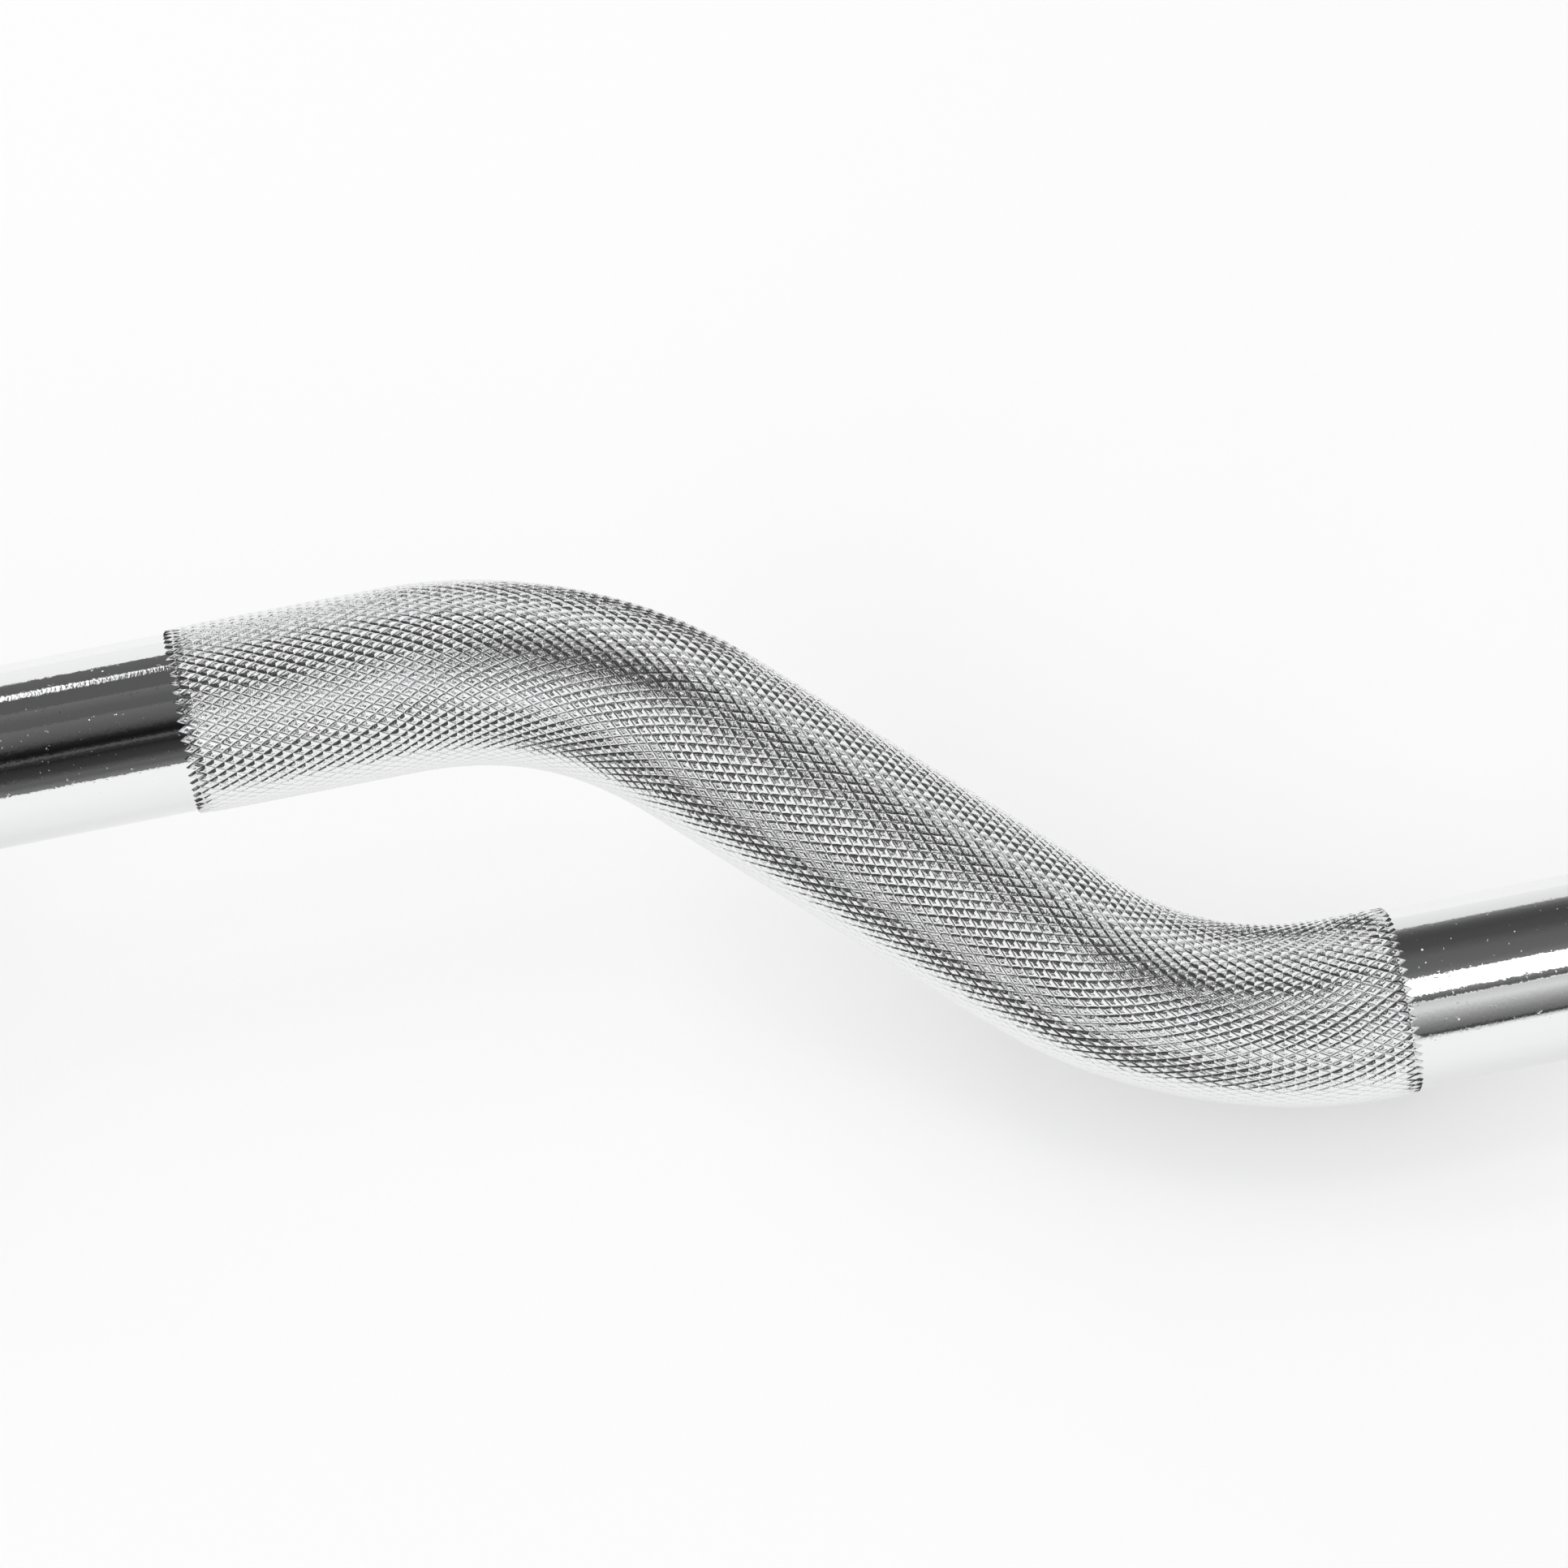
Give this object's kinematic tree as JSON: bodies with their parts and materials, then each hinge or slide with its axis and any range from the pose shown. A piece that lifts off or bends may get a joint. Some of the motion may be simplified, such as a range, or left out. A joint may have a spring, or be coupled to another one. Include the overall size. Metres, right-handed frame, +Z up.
{
  "type": "curl bar",
  "caption": "Curl bar: a solid shaft bent into a shallow W with knurled hand grips, and a freely turning flanged sleeve on each end that takes weight plates.",
  "frame": {"origin": "on the floor, under the middle of the bar's box", "axes": "+X along the bar and the axes of its sleeves, +Z up, and the valleys of the shaft lie on the -Y side"},
  "size_m": [1.2202, 0.1192, 0.078],
  "materials": {
    "shaft": "mirror chrome plate, diamond knurled on the grips",
    "stop_ring": "mirror chrome plate",
    "nylon_washer": "turned nylon",
    "collar": "mirror chrome plate",
    "seal_rubber": "smooth moulded",
    "sleeve": "mirror chrome plate over a fine turned surface",
    "bronze_bushing": "sintered bronze, oiled",
    "steel_washer": "ground",
    "snap_ring": "black phosphated spring steel",
    "end_cap": "mirror chrome plate"
  },
  "bodies": {
    "shaft_assembly": {"shaft": "shaft", "left_stop_ring": "stop_ring", "left_inner_thrust_washer": "nylon_washer", "left_outer_thrust_washer": "steel_washer", "left_shaft_snap_ring": "snap_ring", "right_stop_ring": "stop_ring", "right_inner_thrust_washer": "nylon_washer", "right_outer_thrust_washer": "steel_washer", "right_shaft_snap_ring": "snap_ring"},
    "left_sleeve_assembly": {"left_collar": "collar", "left_dust_seal": "seal_rubber", "left_sleeve": "sleeve", "left_inner_bushing": "bronze_bushing", "left_outer_bushing": "bronze_bushing", "left_end_cap": "end_cap", "left_cap_snap_ring": "snap_ring"},
    "right_sleeve_assembly": {"right_collar": "collar", "right_dust_seal": "seal_rubber", "right_sleeve": "sleeve", "right_inner_bushing": "bronze_bushing", "right_outer_bushing": "bronze_bushing", "right_end_cap": "end_cap", "right_cap_snap_ring": "snap_ring"}
  },
  "joints": [
    {"name": "left_sleeve_spin", "type": "hinge", "parent": "shaft_assembly", "child": "left_sleeve_assembly", "pos_m": [-0.50012, 0.02064, 0.039], "axis": [-1, 0, 0], "continuous": true},
    {"name": "right_sleeve_spin", "type": "hinge", "parent": "shaft_assembly", "child": "right_sleeve_assembly", "pos_m": [0.50012, 0.02064, 0.039], "axis": [1, 0, 0], "continuous": true}
  ]
}
